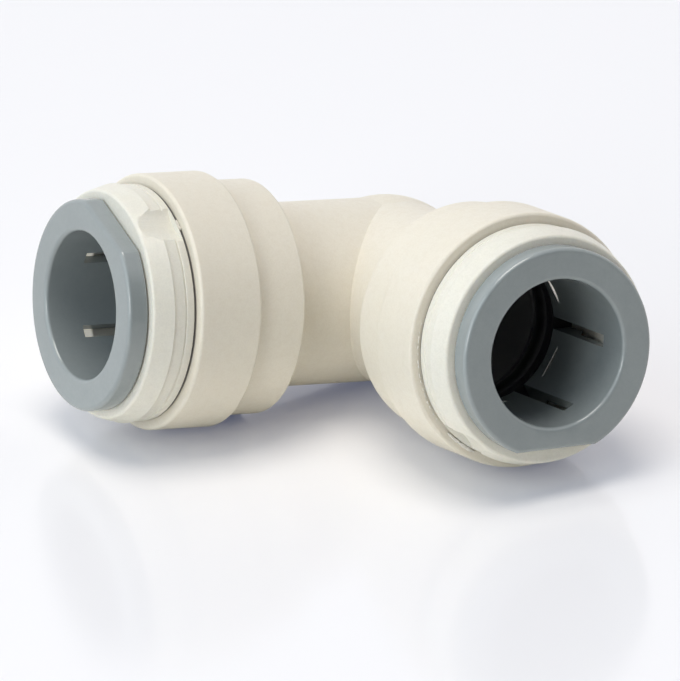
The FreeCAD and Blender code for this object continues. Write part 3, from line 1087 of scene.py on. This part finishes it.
@dataclass
class WeldFlash:
    """The thin uneven bead that the welding of a cap squeezes into the groove, with its crumbs."""

    port: Port
    radius: float = 11.5
    height: float = 28.8
    thickness: float = 0.11
    around: int = 360
    sides: int = 10
    bead_clouds: float = 0.9
    bead_swell: float = 0.9
    bead_level: float = 0.62
    crumb_shape: Place = (0.8, 2.6, 0.8)
    crumb_sizes: Span = (0.6, 1.2)
    crumb_clouds: float = 0.25
    crumb_swell: float = 1.3
    crumb_level: float = 0.5
    crease: float = 60.0
    seed: int = 7

    def roughen(self, piece: bpy.types.Object, clouds: float, swell: float, level: float) -> None:
        """Displaces a piece by a cloudy noise.

        Args:
            piece: The piece.
            clouds: The size of the clouds, in millimetres.
            swell: How far the noise moves the surface, in millimetres.
            level: The noise that leaves the surface where it is.
        """
        noise = bpy.data.textures.new(piece.name, "CLOUDS")
        noise.noise_scale = clouds * MM
        noise.noise_depth = 3
        Bench.apply(piece, "DISPLACE", texture=noise, strength=swell * MM, mid_level=level)

    def bead(self) -> bpy.types.Object:
        """Makes the uneven bead.

        Returns:
            The bead, about its Z axis.
        """
        Bench.clear()
        bpy.ops.mesh.primitive_torus_add(
            major_segments=self.around, minor_segments=self.sides,
            major_radius=self.radius * MM, minor_radius=self.thickness * MM)
        bead = Bench.named(f"weld_flash_{self.port.letter}")
        Bench.place(bead, Matrix.Translation((0.0, 0.0, self.height * MM)))
        self.roughen(bead, self.bead_clouds, self.bead_swell, self.bead_level)
        return bead

    def crumb(self, clock: float, size: float, radius: float) -> bpy.types.Object:
        """Makes one crumb, stretched along the groove.

        Args:
            clock: Its clock angle.
            size: Its size, in millimetres.
            radius: How far it lies off the port's axis.

        Returns:
            The crumb, in its place about the Z axis.
        """
        Bench.clear()
        bpy.ops.mesh.primitive_ico_sphere_add(subdivisions=3, radius=size * MM)
        crumb = Bench.named("crumb")
        Bench.edit_all()
        bpy.ops.transform.resize(value=self.crumb_shape)
        bpy.ops.transform.translate(value=(radius * MM, 0.0, self.height * MM))
        Bench.place(crumb, Matrix.Rotation(math.radians(clock), 4, "Z"))
        self.roughen(crumb, self.crumb_clouds, self.crumb_swell * size, self.crumb_level)
        return crumb

    def build(self, finish: bpy.types.Material) -> None:
        """Makes the bead and joins its crumbs to it.

        Args:
            finish: The material of the flash.
        """
        bead = self.bead()
        chance = random.Random(self.seed)
        crumbs = []
        for row in CRUMBS[self.port.letter]:
            for number in range(row.count):
                clock = row.start + (row.end - row.start) * (number + chance.random()) / row.count
                size = row.size * chance.uniform(*self.crumb_sizes)
                crumbs.append(self.crumb(clock, size, row.radius))
        Bench.hold(bead)
        for crumb in crumbs:
            crumb.select_set(True)
        bpy.ops.object.join()
        Bench.place(bead, self.port.seat())
        Bench.smooth(bead, self.crease)
        settle(bead, finish, FITTING)


@dataclass(frozen=True)
class Lamp:
    """A soft square lamp that looks at the object."""

    name: str
    side: Place
    distance: float
    size: float
    level: float
    colour: Rgb

    def build(self, target: Vector) -> None:
        """Hangs the lamp, so that it lights a surface that faces it at its level.

        Args:
            target: The point that it looks at.
        """
        data = bpy.data.lights.new(self.name, "AREA")
        data.shape = "SQUARE"
        data.size = self.size
        data.energy = self.level * math.pi ** 2 * self.distance ** 2
        data.color = self.colour
        lamp = bpy.data.objects.new(self.name, data)
        bpy.context.scene.collection.objects.link(lamp)
        away = Vector(self.side).normalized()
        turn = away.to_track_quat("Z", "Y").to_matrix().to_4x4()
        lamp.matrix_world = Matrix.Translation(target + away * self.distance) @ turn


LAMPS = (
    Lamp("top", side=(0.0, -0.1, 1.0), distance=1.2, size=0.7, level=0.6,
         colour=(1.0, 0.95, 0.88)),
    Lamp("window", side=(0.1, -0.95, 0.5), distance=1.3, size=1.3, level=0.38,
         colour=(0.79, 0.92, 1.0)),
    Lamp("glint", side=(0.46, -0.84, 0.31), distance=1.2, size=0.26, level=0.12,
         colour=(1.0, 0.98, 0.95)),
)


@dataclass
class Studio:
    """The table, the soft light and the camera, in metres."""

    table_size: float = 0.7
    target: Place = (0.0, 0.0, 0.012)
    ambient: Rgb = (0.40, 0.42, 0.465)
    backdrop: Rgb = (1.0, 1.0, 1.0)
    darkness: Rgb = (0.02, 0.02, 0.02)
    dark_side: Place = (0.98, 0.06, 0.14)
    dark_reach: Span = (0.64, 0.81)
    eye: Place = (0.849283, -0.459707, 0.413287)
    right: Place = (0.48025, 0.87706, -0.01175)
    up: Place = (-0.33241, 0.19438, 0.92289)
    back: Place = (0.81171, -0.43931, 0.38489)
    lens: float = 542.14
    clip: Span = (0.01, 20.0)

    def table(self) -> None:
        """Lays the table under the object."""
        Bench.clear()
        bpy.ops.mesh.primitive_plane_add(size=self.table_size)
        table = Bench.named("table")
        dress(table, TABLE.make())

    def world(self) -> None:
        """Surrounds the table with even light, white in mirrors and dark where the viewer stands."""
        world = bpy.data.worlds.new("studio")
        bpy.context.scene.world = world
        world.use_nodes = True
        graph = Graph(world.node_tree)
        seen = graph.node("ShaderNodeLightPath", output="Is Camera Ray")
        glossy = graph.node("ShaderNodeLightPath", output="Is Glossy Ray")
        passed = graph.node("ShaderNodeLightPath", output="Is Transmission Ray")
        even, white, dark = (
            graph.node("ShaderNodeBackground", inputs={"Color": (*colour, 1.0)})
            for colour in (self.ambient, self.backdrop, self.darkness))
        light = graph.blend(seen.larger(glossy).larger(passed), even, white)
        aim = graph.node("ShaderNodeTexCoord", output="Object")
        along = graph.vector("DOT_PRODUCT", aim, Vector(self.dark_side).normalized(), "Value")
        shade = along.ramp(*self.dark_reach) * (1.0 - seen)
        graph.surface(graph.blend(shade, light, dark))

    def camera(self) -> None:
        """Sets the camera where the photograph was taken from."""
        data = bpy.data.cameras.new("camera")
        data.sensor_fit = "HORIZONTAL"
        data.lens = self.lens
        data.clip_start, data.clip_end = self.clip
        camera = bpy.data.objects.new("camera", data)
        bpy.context.scene.collection.objects.link(camera)
        turn = Matrix((self.right, self.up, self.back)).transposed().to_4x4()
        camera.matrix_world = Matrix.Translation(Vector(self.eye)) @ turn
        bpy.context.scene.camera = camera

    def build(self) -> None:
        """Sets up the table, the light and the camera."""
        self.table()
        self.world()
        for lamp in LAMPS:
            lamp.build(Vector(self.target))
        self.camera()
        bpy.context.scene.view_settings.view_transform = "Standard"
        LOG.info("studio ready")


def main() -> None:
    """Builds the pieces in order, then the studio."""
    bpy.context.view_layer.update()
    logging.basicConfig(level=logging.INFO, format="%(name)s: %(message)s")
    cream, cap_cream, flash, grey = CREAM.make(), CAP_CREAM.make(), FLASH.make(), GREY.make()
    rubber, dark, steel = RUBBER.make(), DARK.make(), STEEL.make()
    ElbowBody().build(cream)
    for port in (PORT_A, PORT_B):
        RetainingCap(port).build(cap_cream)
        Collet(port).build(grey)
        GripTeeth(port).build(steel)
        WeldFlash(port).build(flash)
        HiddenRings(port).build(rubber, dark)
    Studio().build()
    Bench.clear()


if __name__ == "__main__":
    main()
